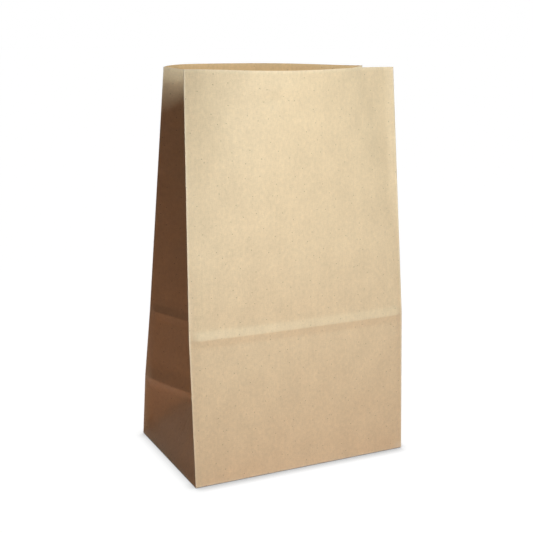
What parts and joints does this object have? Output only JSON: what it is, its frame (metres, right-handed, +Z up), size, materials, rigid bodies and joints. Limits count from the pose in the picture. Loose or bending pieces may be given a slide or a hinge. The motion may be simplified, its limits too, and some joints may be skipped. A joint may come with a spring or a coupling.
{
  "type": "paper lunch bag",
  "caption": "Open block-bottom lunch bag folded from one sheet of brown kraft paper, with side gussets, pressed creases and a glued flat bottom.",
  "frame": {"origin": "middle of the bottom, on the surface the bag stands on", "axes": "+X along the front panel from left to right, +Y from the front panel to the back panel, +Z up to the open mouth"},
  "size_m": [0.156, 0.1068, 0.2575],
  "materials": {
    "kraft_paper": "uncoated brown kraft, machine glazed on the outside, matt"
  },
  "bodies": {
    "root": {"paper_bag": "kraft_paper"}
  },
  "joints": []
}
